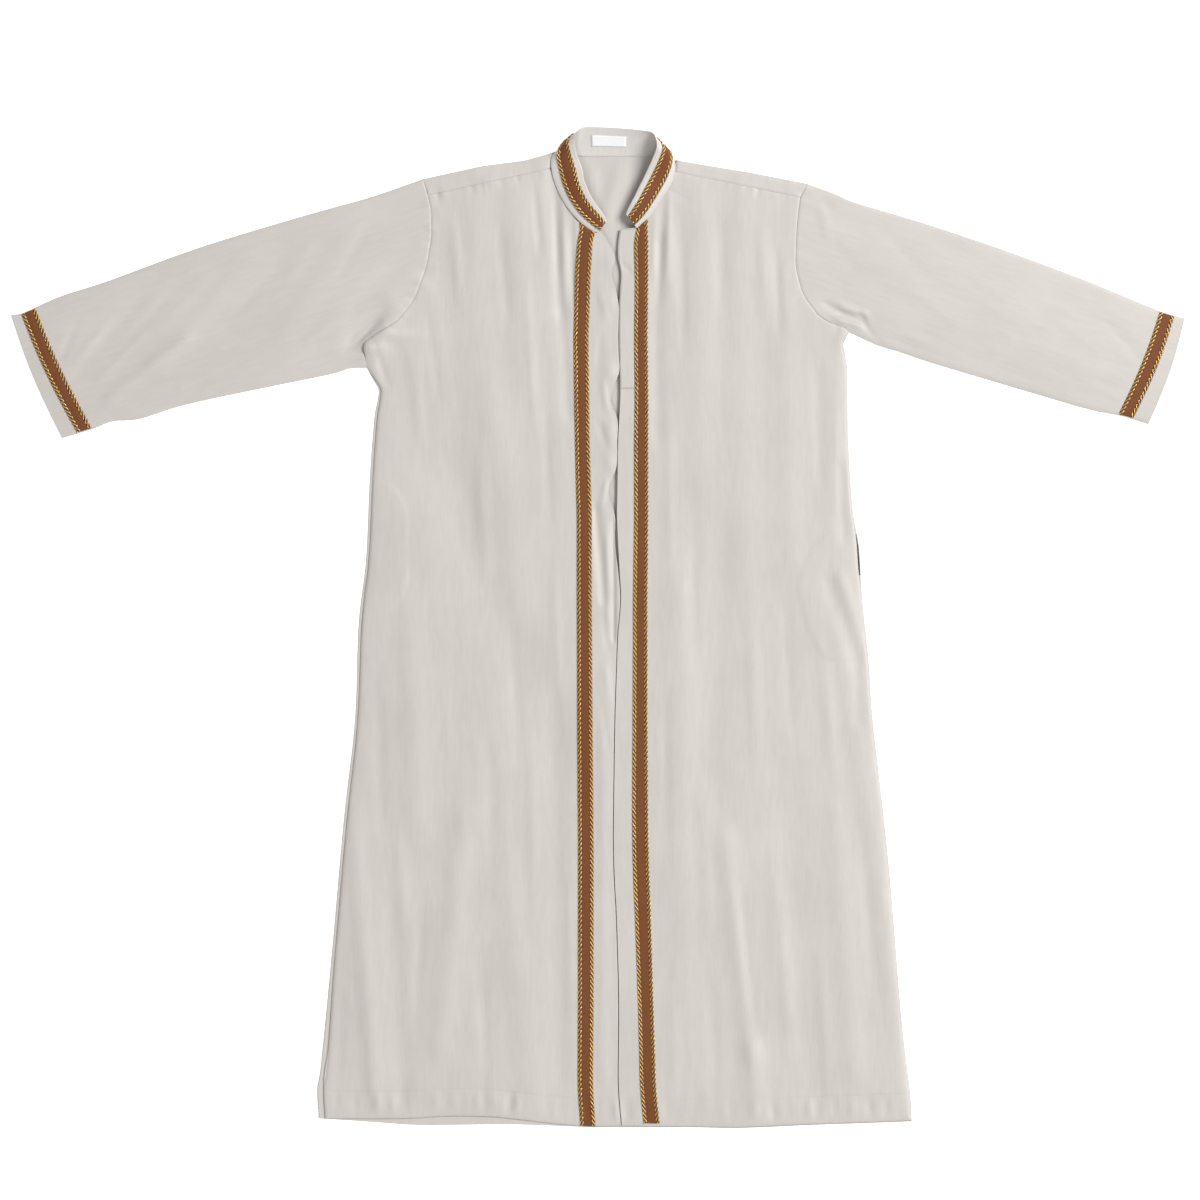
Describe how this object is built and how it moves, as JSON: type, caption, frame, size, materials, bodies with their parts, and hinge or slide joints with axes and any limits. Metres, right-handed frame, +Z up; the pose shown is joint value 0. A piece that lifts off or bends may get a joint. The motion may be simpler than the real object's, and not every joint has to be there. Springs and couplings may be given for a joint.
{
  "type": "thobe robe laid flat",
  "caption": "Long open-fronted robe with a stand collar, long sleeves, a fly strip and braid trim, lying flat with its sleeves spread.",
  "frame": {"origin": "middle of the laid-out outline, on the surface that the robe lies on", "axes": "+X towards the wearer's left sleeve, +Y towards the collar, +Z up from the surface"},
  "size_m": [1.5843, 1.3505, 0.0319],
  "materials": {
    "cloth": "greige satin-backed crepe, soft sheen",
    "collar_cloth": "the same cloth, stiffened",
    "braid": "brown woven tape between twisted gold and dark brown ropes",
    "label": "blank white woven label",
    "pocket_cloth": "greige lining cloth"
  },
  "bodies": {
    "root": {"back": "cloth", "front_right": "cloth", "front_left": "cloth", "placket": "cloth", "sleeve_right": "cloth", "sleeve_left": "cloth", "collar": "collar_cloth", "braid_front_right": "braid", "braid_front_left": "braid", "braid_cuff_right": "braid", "braid_cuff_left": "braid", "braid_collar": "braid", "label": "label", "pocket_right": "pocket_cloth", "pocket_left": "pocket_cloth"}
  },
  "joints": []
}
